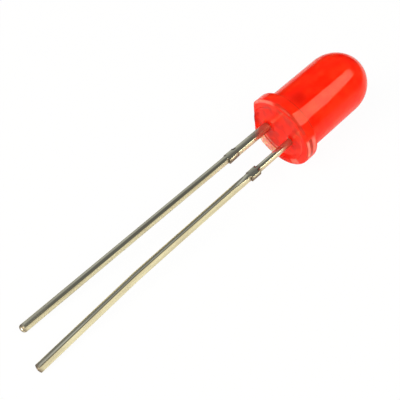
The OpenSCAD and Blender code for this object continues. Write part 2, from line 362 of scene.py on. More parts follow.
# Surface of the tin: sizes of its marks, roughness and what adds to it, and relief
TIN_SMUDGES, TIN_HAIRLINES, TIN_GRAIN = 0.7 * MM, 1.6 * MM, 0.2 * MM
TIN_ROUGHNESS, TIN_SMUDGED, TIN_BASE_DULLED, TORN_DULLED = 0.12, 0.08, 0.18, 0.3
TIN_SCRATCH, TIN_RELIEF = -0.5, 0.0004 * MM

# Grains of the small parts: range, added roughness, and relief as a share of their size
GRAIN_RANGE, GRAIN_DULLED, GRAIN_RELIEF = (0.35, 0.65), 0.2, 0.05


def feed(tree, socket, value):
    """Links an input to another node's output, or sets it to a plain value."""
    if isinstance(value, bpy.types.NodeSocket):
        tree.links.new(value, socket)
    else:
        socket.default_value = value


def feed_all(tree, node, inputs):
    """Feeds a node's inputs by name or number."""
    for key, value in inputs.items():
        feed(tree, node.inputs[key], value)


def add(tree, kind, settings=None, inputs=None):
    """Adds a node with its settings and with its inputs fed."""
    made = tree.nodes.new(kind)
    for key, value in (settings or {}).items():
        setattr(made, key, value)
    feed_all(tree, made, inputs or {})
    return made


def opaque(shade):
    """A colour property as red, green, blue and full alpha."""
    return (*shade, 1.0)


def mixed(tree, factor, first, second):
    """Colour that goes from first to second as factor goes from 0 to 1."""
    made = add(tree, "ShaderNodeMix", {"data_type": "RGBA"}, {0: factor, 6: first, 7: second})
    return made.outputs[2]


def math_node(tree, operation, *values):
    """Result of one sum on its values."""
    made = add(tree, "ShaderNodeMath", {"operation": operation}, dict(enumerate(values)))
    return made.outputs[0]


def times(tree, first, *others):
    """Product of its values."""
    for other in others:
        first = math_node(tree, "MULTIPLY", first, other)
    return first


def scaled(tree, value, factor, start):
    """A start plus a value times a factor."""
    return math_node(tree, "MULTIPLY_ADD", value, factor, start)


def ranged(tree, value, low, high, to_low=0.0, to_high=1.0):
    """Value taken smoothly from one range to another and held at its ends."""
    made = add(
        tree,
        "ShaderNodeMapRange",
        {"interpolation_type": "SMOOTHSTEP"},
        {"Value": value, "From Min": low, "From Max": high, "To Min": to_low, "To Max": to_high},
    )
    return made.outputs[0]


def noise(tree, vector, grain, detail=3.0, roughness=0.5):
    """Cloudy noise whose clouds are about one grain across, in metres."""
    made = add(
        tree,
        "ShaderNodeTexNoise",
        None,
        {"Vector": vector, "Scale": 1 / grain, "Detail": detail, "Roughness": roughness},
    )
    return made.outputs[0]


def stretched(tree, vector, factors):
    """Position multiplied along each axis, so a pattern grows or shrinks there."""
    made = add(tree, "ShaderNodeVectorMath", {"operation": "MULTIPLY"}, {0: vector, 1: factors})
    return made.outputs[0]


def lamp_position(tree):
    """Object position taken into the lamp's own axes, measured from the middle of its base."""
    coordinates = add(tree, "ShaderNodeTexCoord")
    turn = Matrix(LAMP_AXES.tolist()).to_euler()
    mapping = add(
        tree,
        "ShaderNodeMapping",
        {"vector_type": "POINT"},
        {"Vector": coordinates.outputs["Object"], "Location": -LAMP_AXES @ BASE, "Rotation": turn},
    )
    return mapping.outputs[0]


def bumped(tree, height, distance):
    """Surface normal tilted by the slope of a height."""
    slope = {"Strength": 1.0, "Distance": distance, "Height": height}
    return add(tree, "ShaderNodeBump", None, slope).outputs[0]


def painted_mark(tree, label):
    """Strength of a mark that the mesh carries at each point."""
    return add(tree, "ShaderNodeAttribute", {"attribute_name": label}).outputs["Fac"]


def shifted(ends, place):
    """Both ends of a range, moved to a place."""
    return [place + end for end in ends]


def show_blend(tree, output, share, first, second):
    """Shows a shader that goes from first to second as share goes from 0 to 1."""
    shaders = {0: share, 1: first.outputs[0], 2: second.outputs[0]}
    blend = add(tree, "ShaderNodeMixShader", None, shaders)
    feed(tree, output.inputs["Surface"], blend.outputs[0])


def new_material(name):
    """A material with an empty tree, and its Principled shader joined to the output."""
    material = bpy.data.materials.new(name)
    material.use_nodes = True
    tree = material.node_tree
    tree.nodes.clear()
    shader = add(tree, "ShaderNodeBsdfPrincipled")
    output = add(tree, "ShaderNodeOutputMaterial")
    tree.links.new(shader.outputs[0], output.inputs["Surface"])
    return material, tree, shader


def handling_marks_group():
    """Handling marks: cloudy smudges, and hairlines where a noise crosses its middle."""
    name = "Handling Marks"
    if name in bpy.data.node_groups:
        return bpy.data.node_groups[name]
    group = bpy.data.node_groups.new(name, "ShaderNodeTree")
    for label, way, kind in (
        ("Position", "INPUT", "NodeSocketVector"),
        ("Smudge Scale", "INPUT", "NodeSocketFloat"),
        ("Hairline Scale", "INPUT", "NodeSocketFloat"),
        ("Smudges", "OUTPUT", "NodeSocketFloat"),
        ("Hairlines", "OUTPUT", "NodeSocketFloat"),
    ):
        group.interface.new_socket(label, in_out=way, socket_type=kind)
    given = add(group, "NodeGroupInput").outputs
    smudge = {"Vector": given["Position"], "Scale": given["Smudge Scale"], **SMUDGE_NOISE}
    smudge = add(group, "ShaderNodeTexNoise", None, smudge)
    line = {"Vector": given["Position"], "Scale": given["Hairline Scale"], **HAIRLINE_NOISE}
    line = add(group, "ShaderNodeTexNoise", None, line)
    off_middle = math_node(group, "SUBTRACT", line.outputs[0], NOISE_MIDDLE)
    off_middle = math_node(group, "ABSOLUTE", off_middle)
    result = add(group, "NodeGroupOutput")
    smudges = ranged(group, smudge.outputs[0], *SMUDGE_RANGE)
    hairlines = ranged(group, off_middle, 0.0, HAIRLINE_WIDTH, *FALLING)
    feed_all(group, result, {"Smudges": smudges, "Hairlines": hairlines})
    return group


def handling_marks(tree, position, smudge_size, hairline_size):
    """Places the handling marks in a material and gives its smudges and hairlines."""
    scales = {"Smudge Scale": 1 / smudge_size, "Hairline Scale": 1 / hairline_size}
    group = {"node_tree": handling_marks_group()}
    made = add(tree, "ShaderNodeGroup", group, {"Position": position, **scales})
    return made.outputs["Smudges"], made.outputs["Hairlines"]


def red_resin(finishes, lens, heads):
    """Diffused red resin: milky clouds, painted shade of the lead frame's heads inside it, painted shade
    in clouds over the base, and the painted glow, highlights and shade lines of its rim."""
    material, tree, shader = new_material("red_resin")
    position = lamp_position(tree)
    split = add(tree, "ShaderNodeSeparateXYZ", None, {0: position}).outputs
    clouds = ranged(tree, noise(tree, position, RESIN_CLOUDS), *CLOUDY)
    red = mixed(tree, clouds, opaque(finishes.resin_deep), opaque(finishes.resin_milky))
    # Painted shade where the lead frame's heads block light inside the resin
    above = ranged(tree, split["Z"], *shifted(SHADE_START, heads.head_height))
    below = ranged(tree, split["Z"], *shifted(SHADE_END, heads.cup_height), *FALLING)
    inner = ranged(tree, split["X"], *SHADE_INNER)
    outer = ranged(tree, split["X"], *SHADE_OUTER, *FALLING)
    painted_shade = times(tree, above, below, inner, outer, SHADE_STRENGTH)
    red = mixed(tree, painted_shade, red, opaque(finishes.resin_painted_shade))
    base = ranged(tree, split["Z"], lens.dish_depth, lens.dish_depth + BASE_FADE, *FALLING)
    # Painted shade over the base, in clouds that stand for the leads seen through it
    base_shade = ranged(tree, noise(tree, position, BASE_SHADE_CLOUDS), *BASE_SHADE_RANGE)
    red = mixed(tree, times(tree, base, base_shade), red, opaque(finishes.resin_base_shade))
    # Painted light and shade from the mesh's marks: pink glow and highlights on the rim, dark shade
    # lines
    patchy = ranged(tree, noise(tree, position, MARK_PATCHES), *MARK_RANGE)
    for label, shade in (("thin", finishes.resin_painted_glow), ("shade_line", finishes.resin_painted_shade_line)):
        strength = times(tree, painted_mark(tree, label), patchy)
        red = mixed(tree, strength, red, opaque(shade))
    smudges, hairlines = handling_marks(tree, position, RESIN_SMUDGES, RESIN_HAIRLINES)
    dulled = scaled(tree, smudges, RESIN_SMUDGED, RESIN_ROUGHNESS)
    skin = noise(tree, position, RESIN_GRAIN, detail=2.0)
    relief = scaled(tree, hairlines, RESIN_SCRATCH, skin)
    looks = {
        "Base Color": red,
        "Roughness": scaled(tree, base, RESIN_BASE_DULLED, dulled),
        "Normal": bumped(tree, relief, RESIN_RELIEF),
        "IOR": 1.52,
        "Specular IOR Level": 0.13,
        "Specular Tint": opaque(finishes.resin_sheen),
        "Subsurface Weight": 1.0,
        "Subsurface Radius": (1.0, 0.12, 0.06),
        "Subsurface Scale": 1.4 * MM,
    }
    feed_all(tree, shader, looks)
    return material


def tinned_steel(finishes):
    """Tin plating over drawn steel: lines along the lead, stains, darker towards the lens base, bare
    steel at the cuts, and painted shade on a rounded tinned tip.
    """
    material, tree, shader = new_material("tinned_steel")
    position = lamp_position(tree)
    drawn = stretched(tree, position, DRAWN_STRETCH)
    lines = noise(tree, drawn, DRAWN_LINES, detail=2.0, roughness=0.6)
    lines = ranged(tree, lines, *LINE_RANGE)
    metal = mixed(tree, lines, opaque(finishes.tin_dull), opaque(finishes.tin_bright))
    along = stretched(tree, position, SMUDGE_STRETCH)
    smudges, hairlines = handling_marks(tree, along, TIN_SMUDGES, TIN_HAIRLINES)
    height = add(tree, "ShaderNodeSeparateXYZ", None, {0: position}).outputs["Z"]
    # Darker and duller towards the lens base
    by_base = ranged(tree, height, *NEAR_BASE_RANGE)
    for stain, strength in ((smudges, SMUDGE_STAIN), (by_base, NEAR_BASE_DARKENING)):
        metal = mixed(tree, times(tree, stain, strength), metal, opaque(finishes.tin_stain))
    # Bare cut steel, and painted shade on the cathode's rounded tinned tip
    sheared = painted_mark(tree, "sheared")
    dulled = scaled(tree, smudges, TIN_SMUDGED, TIN_ROUGHNESS)
    dulled = scaled(tree, by_base, TIN_BASE_DULLED, dulled)
    grain = noise(tree, drawn, TIN_GRAIN, detail=0.0)
    relief = scaled(tree, hairlines, TIN_SCRATCH, grain)
    looks = {
        "Base Color": mixed(tree, sheared, metal, opaque(finishes.bare_steel_and_tip_shade)),
        "Roughness": scaled(tree, sheared, TORN_DULLED, dulled),
        "Normal": bumped(tree, relief, TIN_RELIEF),
        "Metallic": 1.0,
    }
    feed_all(tree, shader, looks)
    return material


def grained(name, finer, coarser, grain, metallic, roughness):
    """A small part's finish: two colours in grains, with their roughness and relief."""
    material, tree, shader = new_material(name)
    grains = noise(tree, lamp_position(tree), grain, detail=4.0, roughness=0.6)
    grains = ranged(tree, grains, *GRAIN_RANGE)
    looks = {
        "Base Color": mixed(tree, grains, opaque(finer), opaque(coarser)),
        "Roughness": ranged(tree, grains, 0.0, 1.0, roughness, roughness + GRAIN_DULLED),
        "Normal": bumped(tree, grains, GRAIN_RELIEF * grain),
        "Metallic": metallic,
    }
    feed_all(tree, shader, looks)
    return material


# Lens

# Columns round the lens, and rings on each part of its profile
LENS_COLUMNS = 320
FLOOR_RINGS, CLIMB_RINGS, LAND_RINGS, RIM_RINGS, FLANGE_RINGS = 44, 14, 7, 12, 9
SHOULDER_RINGS, LEDGE_RINGS, ROOT_RINGS, BODY_RINGS, DOME_RINGS = 7, 5, 6, 26, 44
FIRST_RING = 0.02

# Gap between the two rings of the lip, and the least width of the shoulder beside the flat
LIP = 0.015 * MM
LEAST_SHOULDER = 0.004 * MM

# How sharply the flat meets the round edge, and the cosine past which the flat plays no part
FLAT_SHARPNESS = 90
LEAST_COSINE = 0.5

# Place along the profile past the shoulder, where no mark is painted
PLAIN_PLACE = 6.0


def flange_outline(sizes, inset, turn):
    """Radius of the flange drawn in by an inset, at each angle from the flat: the lesser of the
    round edge and of the flat over the angle's cosine, joined by a power mean that rounds both
    corners."""
    round_edge = (sizes.flange_radius - inset) * np.ones_like(turn)
    flat_edge = (sizes.flat_distance - inset) / np.maximum(np.cos(turn), LEAST_COSINE)
    summed = round_edge**-FLAT_SHARPNESS + flat_edge**-FLAT_SHARPNESS
    return summed ** (-1 / FLAT_SHARPNESS)


def lead_section_at_base(sizes):
    """Left and right edge of each lead where it leaves the resin."""
    half_pitch, half_width = sizes.pitch / 2, sizes.width / 2
    cathode = (half_pitch - half_width - sizes.neck_extra, half_pitch + half_width)
    anode = (-half_pitch - half_width, -half_pitch + half_width - sizes.neck_inset)
    return cathode, anode


def resin_climb(sizes, leads, x, y):
    """Height of the resin drawn up round the leads: the climb at a lead times the square of 1
    minus the gap to it over the spread."""
    climb = np.zeros_like(x)
    for left, right in lead_section_at_base(leads):
        beside = np.maximum(np.abs(x - (left + right) / 2) - (right - left) / 2, 0)
        before = np.maximum(np.abs(y) - leads.thickness / 2, 0)
        near = np.clip(1 - np.hypot(beside, before) / sizes.climb_spread, 0, 1)
        climb = np.maximum(climb, sizes.climb_height * near**2)
    return climb


def window(value, low, high, soft):
    """1 between low and high, and a smooth fall to 0 over a soft edge outside them."""
    share = np.clip(np.minimum(value - low, high - value) / soft + 1, 0, 1)
    return share * share * (3 - 2 * share)


# Painted light and shade on the rim and the flange: a pink glow where light comes through the thin rim,
# painted highlights on its rounded edges, and dark painted shade lines and patches between them. Each
# row holds strength, then low, high and soft edge of the place along the profile, and of the angle from
# the flat in degrees. A place past 0 is on the floor, past 1 on the climb, 2 the land, 3 the rim, 4 the
# flange and 5 the shoulder
PAINTED_GLOW_PLACES = [
    (1.0, 1.5, 3.8, 0.2, 268, 324, 6),
    (0.35, 0.95, 1.1, 0.08, 262, 330, 8),
    (0.4, 3.2, 3.6, 0.3, 42, 76, 10),
    (0.35, 2.0, 3.0, 0.3, 221, 232, 7),
    (0.6, 3.6, 4.0, 0.15, 160, 184, 6),
    (0.45, 4.55, 4.8, 0.15, 160, 178, 8),
]
PAINTED_SHADE_LINE_PLACES = [
    (0.75, 3.4, 3.95, 0.2, 86, 142, 8),
    (0.5, 1.2, 1.3, 0.1, 262, 330, 10),
    (0.35, 0.88, 0.9, 0.03, 262, 330, 10),
    (0.2, 1.2, 3.0, 0.4, 40, 80, 10),
    (0.95, 4.15, 4.4, 0.1, 158, 187, 6),
    (0.7, 3.2, 3.45, 0.1, 158, 188, 6),
    (0.4, 1.1, 2.6, 0.5, 92, 145, 10),
    (0.7, 3.4, 4.2, 0.2, 330, 361, 6),
    (0.7, 3.4, 4.2, 0.2, -1, 34, 6),
    (0.4, 5.0, 5.6, 0.1, 96, 140, 8),
]


def painted(places, profile, turn):
    """Strength of the given places at each point of the lens."""
    strength = np.zeros((len(profile), len(turn)))
    for amount, low, high, soft, first, last, edge in places:
        along = window(profile, low, high, soft)[:, None]
        around = window(np.degrees(turn), first, last, edge)
        strength = np.maximum(strength, amount * along * around)
    return np.concatenate([strength.ravel(), [0, 0]])


def lens_rings(sizes, leads):
    """Rings of the lens from the middle of its dish, over rim, flange and shoulder, to the dome,
    and the marks on them. Each ring has a radius and a height at every angle from the flat's
    middle. Rounded edges are quarter circles, and the dome is a half sphere."""
    turn = np.linspace(0, 2 * math.pi, LENS_COLUMNS, endpoint=False)
    even = np.ones_like(turn)
    reach = min(sizes.flange_radius - sizes.rim_rounding, sizes.flat_distance) - sizes.rim_land
    top_angle = math.acos(1 - sizes.dish_depth / sizes.dish_rounding)
    floor_radius = reach - sizes.dish_rounding * math.sin(top_angle)
    shoulder_height = sizes.flange_thickness
    dome_height = sizes.height - sizes.body_radius
    radii, heights, profile = [], [], []

    def ring(radius, height, place=PLAIN_PLACE):
        radii.append(radius * even)
        heights.append(height * even)
        profile.append(place)

    for share in np.linspace(FIRST_RING, 1, FLOOR_RINGS):
        ring(floor_radius * share, sizes.dish_depth, share)
    for share in np.linspace(0, 1, CLIMB_RINGS)[1:]:
        climb = top_angle * share
        radius = floor_radius + sizes.dish_rounding * math.sin(climb)
        rise = sizes.dish_rounding * (1 - math.cos(climb))
        ring(radius, sizes.dish_depth - rise, 1 + share)
    radii[-1] = radii[-1] - LIP
    rim = flange_outline(sizes, sizes.rim_rounding, turn)
    for share in np.linspace(0, 1, LAND_RINGS)[:-1]:
        ring((reach + LIP) * (1 - share) + rim * share, 0, 2 + share)
    for share in np.linspace(0, 1, RIM_RINGS):
        roll = share * QUARTER
        inset = sizes.rim_rounding * (1 - math.sin(roll))
        rise = sizes.rim_rounding * (1 - math.cos(roll))
        ring(flange_outline(sizes, inset, turn), rise, 3 + share)
    low, high = sizes.rim_rounding, shoulder_height - sizes.shoulder_rounding
    for share in np.linspace(0, 1, FLANGE_RINGS)[1:-1]:
        ring(flange_outline(sizes, 0, turn), low + (high - low) * share, 4 + share)
    least = sizes.body_radius + LEAST_SHOULDER
    for roll in np.linspace(0, QUARTER, SHOULDER_RINGS):
        inset = sizes.shoulder_rounding * (1 - math.cos(roll))
        rise = sizes.shoulder_rounding * (1 - math.sin(roll))
        edge = np.maximum(flange_outline(sizes, inset, turn), least)
        ring(edge, shoulder_height - rise, 5 + roll / QUARTER)
    shoulder = np.maximum(flange_outline(sizes, sizes.shoulder_rounding, turn), least)
    hollow = np.minimum(sizes.root_rounding, (shoulder - sizes.body_radius) / 2)
    root = sizes.body_radius + hollow
    for share in np.linspace(0, 1, LEDGE_RINGS)[1:-1]:
        ring(shoulder * (1 - share) + root * share, shoulder_height)
    for roll in np.linspace(0, QUARTER, ROOT_RINGS):
        rise = sizes.root_rounding * (1 - math.cos(roll))
        ring(sizes.body_radius + hollow * (1 - math.sin(roll)), shoulder_height + rise)
    start = shoulder_height + sizes.root_rounding
    for share in np.linspace(0, 1, BODY_RINGS)[1:]:
        ring(sizes.body_radius, start + (dome_height - start) * share)
    for latitude in np.linspace(0, QUARTER, DOME_RINGS)[1:-1]:
        rise = sizes.body_radius * math.sin(latitude)
        ring(sizes.body_radius * math.cos(latitude), dome_height + rise)
    radii, heights, profile = np.array(radii), np.array(heights), np.array(profile)
    x, y = radii * np.cos(turn), radii * np.sin(turn)
    in_dish = (radii < reach) & (heights <= sizes.dish_depth)
    heights = np.where(in_dish, heights - resin_climb(sizes, leads, x, y), heights)
    places = {"thin": PAINTED_GLOW_PLACES, "shade_line": PAINTED_SHADE_LINE_PLACES}
    marks = {label: painted(rows, profile, turn) for label, rows in places.items()}
    return np.stack([x, y, heights], axis=-1), marks


class LED_OT_cast_lens(bpy.types.Operator):
    """Cast the lens over the lead frame"""

    bl_idname = "led.cast_lens"
    bl_label = "Cast the lens"

    def execute(self, context):
        scene = context.scene
        sizes = scene.led_lens
        rings, marks = lens_rings(sizes, scene.led_leads)
        lens = closed_shell(rings, (0, 0, sizes.dish_depth), (0, 0, sizes.height))
        material = red_resin(scene.led_finishes, sizes, scene.led_heads)
        make_piece("cast_lens", [lens], material, "epoxy_lens", marks)
        return {"FINISHED"}


# Leads

# Points on each corner and side of a lead's section, and the most of their room that its rounding
# and its crown may take
CORNER_POINTS, SIDE_POINTS = 6, 9
WIDEST_CORNER, HIGHEST_CROWN = 0.8, 0.2

# Rings on a tip, columns round the cup, spacing of the sections, digits to which their heights are
# told apart, and height of a step in the outline
TIP_RINGS, CUP_COLUMNS = 7, 64
SECTION_SPACING = 0.25 * MM
HEIGHT_DIGITS = 9
CUT_STEP = 0.012 * MM

# Where the cutter tore the steel: depth of the cut face as a share of the sheared corner, and height on
# it as a share of the thickness. The painted shade at the end and in a ring of a rounded tinned tip,
# which stands for dark reflections, as shares of its rounding
TORN_EDGE, TORN_HEIGHT = 0.3, 0.25
PAINTED_SHADE_END, PAINTED_SHADE_RING = 0.55, (0.75, 1.1)

# Distance below its bend from which the anode's twist changes towards its tip, and length below
# the dam bar over which the twist sets in
BEND_EASE, DAM_EASE = 2 * MM, 1.5 * MM


def rounded_sections(z, left, right, thickness, corner, crown, turn):
    """Rounded rectangle carried along a lead: at each height z it runs from left to right, turns
    about its own middle, and is lifted so that its lowest point stays where it was. Each corner is
    a quarter circle, and each side rises between its corners as a flat parabola."""
    quarter = np.arange(4)
    arc = quarter[:, None] * QUARTER + np.linspace(0, QUARTER, CORNER_POINTS)
    diagonal = quarter * QUARTER + QUARTER / 2
    side_x, side_y = np.sign(np.cos(diagonal))[:, None], np.sign(np.sin(diagonal))[:, None]
    half = ((right - left) / 2)[:, None, None]
    deep = (thickness / 2)[:, None, None]
    least = np.minimum(half, deep)
    radius = np.minimum(corner[:, None, None], WIDEST_CORNER * least)
    corner_x = side_x * (half - radius) + radius * np.cos(arc)
    corner_y = side_y * (deep - radius) + radius * np.sin(arc)
    corners = np.stack([corner_x, corner_y], axis=-1)
    share = np.linspace(0, 1, SIDE_POINTS)[1:-1, None]
    following = np.roll(corners, -1, axis=1)[:, :, :1]
    outward = np.stack([np.cos(arc[:, -1:]), np.sin(arc[:, -1:])], axis=-1)
    height = np.minimum(crown, HIGHEST_CROWN * (least - radius))[..., None]
    rise = 4 * height * share * (1 - share) * outward
    sides = corners[:, :, -1:] * (1 - share) + following * share + rise
    outline = np.concatenate([corners, sides], axis=2).reshape(len(z), -1, 2)
    cosine, sine = np.cos(turn)[:, None], np.sin(turn)[:, None]
    x = outline[..., 0] * cosine - outline[..., 1] * sine + ((left + right) / 2)[:, None]
    y = outline[..., 0] * sine + outline[..., 1] * cosine
    y -= y.min(axis=1, keepdims=True) - outline[..., 1].min(axis=1, keepdims=True)
    return np.stack([x, y, np.broadcast_to(z[:, None], x.shape)], axis=-1)


def stations(heights, spacing):
    """Heights at which a section is set: the given ones, and even steps between them."""
    heights = np.unique(np.round(heights, HEIGHT_DIGITS))
    lows, highs = heights[:-1], heights[1:]
    counts = np.maximum(np.ceil((highs - lows) / spacing).astype(int), 1)
    spans = [np.linspace(a, b, n, endpoint=False) for a, b, n in zip(lows, highs, counts)]
    return np.concatenate(spans + [heights[-1:]])


def edge_at(z, points):
    """Value at each height, straight between the given pairs of height and value."""
    heights, places = np.array(points).T
    return np.interp(z, heights, places)


def lead_shell(sizes, left_edge, right_edge, tip, hollow, turn_points):
    """One lead from tip to head, and the marks of its sheared places and of the painted shade on a
    rounded tinned tip. The outline's edges give each section's width; towards the tip the section draws
    in on all sides along a quarter circle, and a cut end is hollowed by a shallow cone."""
    low, high = left_edge[0][0], left_edge[-1][0]
    tip_heights = low + tip * (1 - np.sin(np.linspace(0, QUARTER, TIP_RINGS)))
    given = [height for height, _ in left_edge[1:] + right_edge[1:]]
    z = stations(np.array(given + tip_heights.tolist()), SECTION_SPACING)
    left, right = edge_at(z, left_edge), edge_at(z, right_edge)
    above_tip = np.clip(1 - (z - low) / tip, 0, 1)
    inset = tip * (1 - np.sqrt(1 - above_tip**2))
    dam_low, dam_high = -sizes.dam_distance, sizes.dam_length - sizes.dam_distance
    in_dam = (z > dam_low - 2 * CUT_STEP) & (z < dam_high + 2 * CUT_STEP)
    corner = np.where(in_dam, sizes.sheared_corner, sizes.corner)
    turn = edge_at(z, turn_points)
    thick = sizes.thickness - 2 * inset
    rings = rounded_sections(z, left + inset, right - inset, thick, corner, sizes.crown, turn)
    middle, half = ((left + right) / 2)[:, None], ((right - left) / 2)[:, None]
    aside = np.abs(rings[..., 0] - middle)
    cut_face = aside > half - TORN_EDGE * sizes.sheared_corner
    torn = cut_face & in_dam[:, None] & (rings[..., 1] < TORN_HEIGHT * sizes.thickness)
    near_end = np.minimum(np.abs(z - dam_low), np.abs(z - dam_high)) < 2 * CUT_STEP
    torn |= near_end[:, None] & (aside > sizes.width / 2 - sizes.corner)
    cut_tip = hollow > 0
    if cut_tip:
        bare_end_and_tip_shade = z < low + tip
    else:
        # Painted shade in a ring and at the end of a rounded tinned tip, standing for dark reflections
        ring_low, ring_high = PAINTED_SHADE_RING
        bare_end_and_tip_shade = (z > low + ring_low * tip) & (z < low + ring_high * tip)
        bare_end_and_tip_shade |= z < low + PAINTED_SHADE_END * tip
    marks = np.concatenate([(torn | bare_end_and_tip_shade[:, None]).ravel(), [cut_tip, False]])
    tip_pole, head_pole = (middle[0, 0], 0, low + hollow), (middle[-1, 0], 0, high)
    return closed_shell(rings, tip_pole, head_pole), marks


def cathode_shells(sizes, heads):
    """The cathode's stamped outline, and the cup as a cone of revolution with a conical hollow."""
    half = sizes.width / 2
    lean = math.tan(sizes.cathode_lean)
    start = sizes.pitch / 2
    tip_z, dam_z = -sizes.cathode_length, -sizes.dam_distance
    dam_top = dam_z + sizes.dam_length
    tip_x, dam_x, burr_x = start - tip_z * lean, start - dam_z * lean, start - dam_top * lean
    cup_root_z = heads.cup_height - heads.cup_length
    lock_z = heads.head_height + heads.lock_step
    neck = half + sizes.neck_extra
    left = [
        (tip_z, tip_x - half),
        (dam_z - CUT_STEP, dam_x - half),
        (dam_z, dam_x - neck - sizes.dam_burr),
        (dam_top, burr_x - neck),
        (heads.head_height, start - neck),
        (heads.head_height + heads.slope, -heads.anvil_reach),
        (heads.head_height + heads.slope + heads.anvil_height, -heads.anvil_reach),
        (cup_root_z, -heads.cup_root),
    ]
    right = [
        (tip_z, tip_x + half),
        (dam_z - CUT_STEP, dam_x + half),
        (dam_z, dam_x + half + sizes.dam_burr),
        (dam_top, burr_x + half + sizes.dam_burr),
        (dam_top + CUT_STEP, burr_x + half),
        (heads.head_height, start + half),
        (lock_z, start + half + heads.lock_step),
        (lock_z + heads.anvil_height, start + half + heads.lock_step),
        (cup_root_z, heads.cup_root),
    ]
    straight = [(tip_z, 0), (cup_root_z, 0)]
    shell, marks = lead_shell(sizes, left, right, sizes.cathode_tip, 0, straight)
    floor_z = heads.cup_height - heads.cup_depth
    profile = [
        (heads.cup_root, cup_root_z),
        (heads.cup_rim, heads.cup_height),
        (heads.cup_mouth, heads.cup_height),
        (heads.cup_floor, floor_z),
    ]
    turn = np.linspace(0, 2 * math.pi, CUP_COLUMNS, endpoint=False)
    radius, height = np.array(profile).T[:, :, None]
    height = np.broadcast_to(height, (len(profile), len(turn)))
    rings = np.stack([radius * np.cos(turn), radius * np.sin(turn), height], axis=-1)
    cup = closed_shell(rings, (0, 0, cup_root_z), (0, 0, floor_z))
    marks = np.concatenate([marks, np.zeros(len(cup[0]))])
    return [shell, cup], {"sheared": marks}


def anode_shells(sizes, heads):
    """The anode's outline with its stub, its slight bend and its post."""
    half = sizes.width / 2
    start = -sizes.pitch / 2
    tip_z, dam_z, bend_z = -sizes.anode_length, -sizes.dam_distance, -sizes.bend_distance
    dam_top = dam_z + sizes.dam_length
    bend_x = start - (dam_z - bend_z) * math.tan(sizes.anode_lean)
    tip_x = bend_x - (bend_z - tip_z) * math.tan(sizes.bend_lean)
    lock_z = heads.head_height + heads.lock_step
    post_in, post_out = start + half - sizes.neck_inset, start - half - heads.lock_step
    top = heads.post_height
    left = [
        (tip_z, tip_x - half),
        (bend_z, bend_x - half),
        (dam_z - CUT_STEP, start - half),
        (dam_z, start - half - sizes.dam_stub),
        (dam_top, start - half - sizes.dam_stub),
        (dam_top + CUT_STEP, start - half),
        (heads.head_height, start - half),
        (lock_z, post_out),
        (top - heads.post_corner, post_out),
        (top, post_out + heads.post_corner),
    ]
    right = [
        (tip_z, tip_x + half),
        (bend_z, bend_x + half),
        (dam_z - CUT_STEP, start + half),
        (dam_z, start + half + sizes.dam_burr),
        (dam_top, start + half + sizes.dam_burr),
        (dam_top + CUT_STEP, post_in),
        (top - 2 * heads.slope, post_in),
        (top - heads.slope, post_in + heads.post_lean),
        (top - heads.post_corner, post_in + heads.post_lean),
        (top, post_in + heads.post_lean - heads.post_corner),
    ]
    turn = [
        (tip_z, sizes.tip_turn),
        (bend_z - BEND_EASE, sizes.anode_turn),
        (dam_z - DAM_EASE, sizes.anode_turn),
        (dam_z, 0),
        (top, 0),
    ]
    shell, marks = lead_shell(sizes, left, right, sizes.anode_tip, sizes.tip_hollow, turn)
    return [shell], {"sheared": marks}


class LED_OT_form_leads(bpy.types.Operator):
    """Form the cathode with its cup and the anode with its post"""

    bl_idname = "led.form_leads"
    bl_label = "Form the leads"

    def execute(self, context):
        scene = context.scene
        sizes, heads = scene.led_leads, scene.led_heads
        material = tinned_steel(scene.led_finishes)
        shells, marks = cathode_shells(sizes, heads)
        make_piece("tinned_cathode", shells, material, "cathode_lead", marks)
        shells, marks = anode_shells(sizes, heads)
        make_piece("tinned_anode", shells, material, "anode_lead", marks)
        return {"FINISHED"}


# Chip


class LED_OT_finish_chip(bpy.types.Operator):
    """Finish the chip, its adhesive and its bond wire"""

    bl_idname = "led.finish_chip"
    bl_label = "Finish the chip"

    def execute(self, context):
        made = context.scene.led_finishes
        chip = {"grain": 0.03 * MM, "metallic": 0.0, "roughness": 0.4}
        paste = {"grain": 0.02 * MM, "metallic": 0.7, "roughness": 0.45}
        gold = {"grain": 0.012 * MM, "metallic": 1.0, "roughness": 0.18}
        looks = {
            "led_die": grained("sawn_chip", made.chip, made.chip_glint, **chip),
            "die_attach": grained("silver_paste", made.paste_dark, made.paste, **paste),
            "bond_wire": grained("drawn_gold", made.gold, made.gold_dull, **gold),
        }
        for node, material in looks.items():
            mesh = frame["nodes"][node].data
            mesh.materials.clear()
            mesh.materials.append(material)
        return {"FINISHED"}


# Stage

# Where each wall comes in along the direction seen from the part, and height of the walls' foot
LEFT_WALL, RIGHT_WALL = (-0.8, -0.4), (0.36, 0.5)
FRONT_WALL, BACK_WALL = (-0.5, -0.1), (0.1, 0.5)
WALL_FOOT = (0.35, 0.65)

# Table's paper, plain white, and the nearest thing that the camera sees
PAPER_FIBRE, PAPER_ROUGHNESS = 0.6 * MM, (0.85, 0.95)
WHITE = (1, 1, 1, 1)
NEAREST_SIGHT = 1 * MM

LIGHTS = ("key_light", "side_light", "front_light")


def from_above(azimuth, elevation):
    """Unit vector from the table's middle: azimuth 0 is the front, and 90 degrees is the right."""
    flat = math.cos(elevation)
    return Vector((flat * math.sin(azimuth), -flat * math.cos(azimuth), math.sin(elevation)))


def looking(place, direction, roll):
    """Matrix of a lamp or camera that looks from a place along a direction, with its sides level
    before its roll."""
    level_side = direction.cross(Vector((0, 0, 1))).normalized()
    above = level_side.cross(direction)
    right = level_side * math.cos(roll) + above * math.sin(roll)
    top = right.cross(direction)
    turned = Matrix((right, top, -direction)).transposed()
    return Matrix.Translation(place) @ turned.to_4x4()


